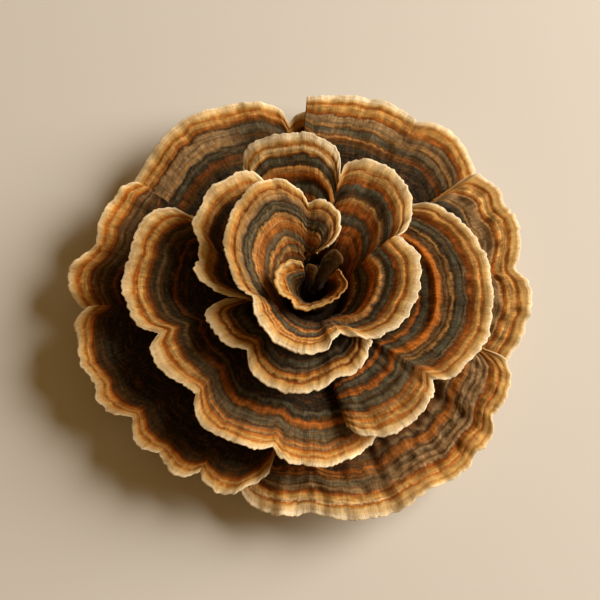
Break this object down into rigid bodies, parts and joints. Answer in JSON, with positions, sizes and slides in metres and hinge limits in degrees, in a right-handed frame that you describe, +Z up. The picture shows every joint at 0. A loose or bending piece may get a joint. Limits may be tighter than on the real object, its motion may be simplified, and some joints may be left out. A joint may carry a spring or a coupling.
{
  "type": "turkey tail fungus",
  "caption": "Rosette of thin, lobed, colour-banded leathery bracket caps in overlapping tiers round a coiled crown, grown from one woody foot that is cut flat to stand on.",
  "frame": {"origin": "middle of the foot's flat cut face, on the surface that the fungus rests on", "axes": "+Z up out of the cut face, through the tiers; +X to the right and +Y to the back of the rosette as the picture shows it"},
  "size_m": [0.1168, 0.1127, 0.0305],
  "materials": {
    "foot": "pale corky flesh, dry and matte, with a cut face",
    "outer_cap": "velvety rings of rust, ochre, grey and dark brown inside a cream margin; cream pores below",
    "middle_cap": "velvety rings of orange, tan, grey and dark brown inside a cream margin; cream pores below",
    "upper_cap": "velvety rings of orange, tan and grey inside a cream margin; cream pores below",
    "crown_cap": "velvety rings of tan, slate grey and orange inside a broad cream margin; cream pores below",
    "heart_cap": "velvety orange, tan and grey rings inside a cream margin"
  },
  "bodies": {
    "root": {"foot": "foot", "outer_cap_back_left": "outer_cap", "outer_cap_back_right": "outer_cap", "outer_cap_right": "outer_cap", "outer_cap_front_right": "outer_cap", "outer_cap_front_left": "outer_cap", "outer_cap_left": "outer_cap", "middle_cap_left": "middle_cap", "middle_cap_right": "middle_cap", "upper_cap_left": "upper_cap", "upper_cap_front": "upper_cap", "crown_cap": "crown_cap", "heart_cap": "heart_cap", "heart_bud": "heart_cap"}
  },
  "joints": []
}
